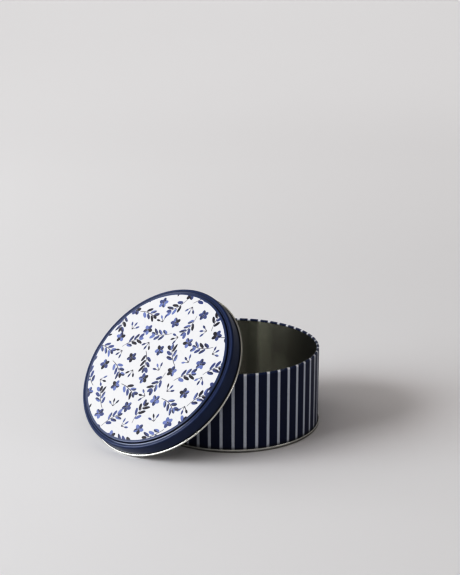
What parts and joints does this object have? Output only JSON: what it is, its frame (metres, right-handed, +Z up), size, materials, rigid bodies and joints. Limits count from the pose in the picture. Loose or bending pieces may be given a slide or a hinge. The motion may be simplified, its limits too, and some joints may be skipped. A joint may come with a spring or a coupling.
{
  "type": "cookie tin",
  "caption": "Round tinplate cookie tin with a curled rim and a double-seamed base; its raised-panel slip lid is off and leans on the rim.",
  "frame": {"origin": "on the floor under the middle of the box round the tin and its leaning lid", "axes": "+Z up along the tin's axis, the lid leans towards -Y, +X along the lid's level diameter"},
  "size_m": [0.183, 0.2202, 0.1293],
  "materials": {
    "body_litho": "navy print with thin white upright stripes under a gloss varnish, bare tinplate inside",
    "bare_tinplate": "bare tinplate, bright with a soft rolling grain",
    "lid_litho": "navy rim under a gloss varnish, white printed panel, bare tinplate inside and on the curl"
  },
  "bodies": {
    "tin": {"body_shell": "body_litho", "base_end": "bare_tinplate"},
    "lid": {"lid": "lid_litho"}
  },
  "joints": [
    {"name": "lid_lift", "type": "slide", "parent": "tin", "child": "lid", "axis": [0, 0, 1], "range_m": [0, 0.09]}
  ]
}
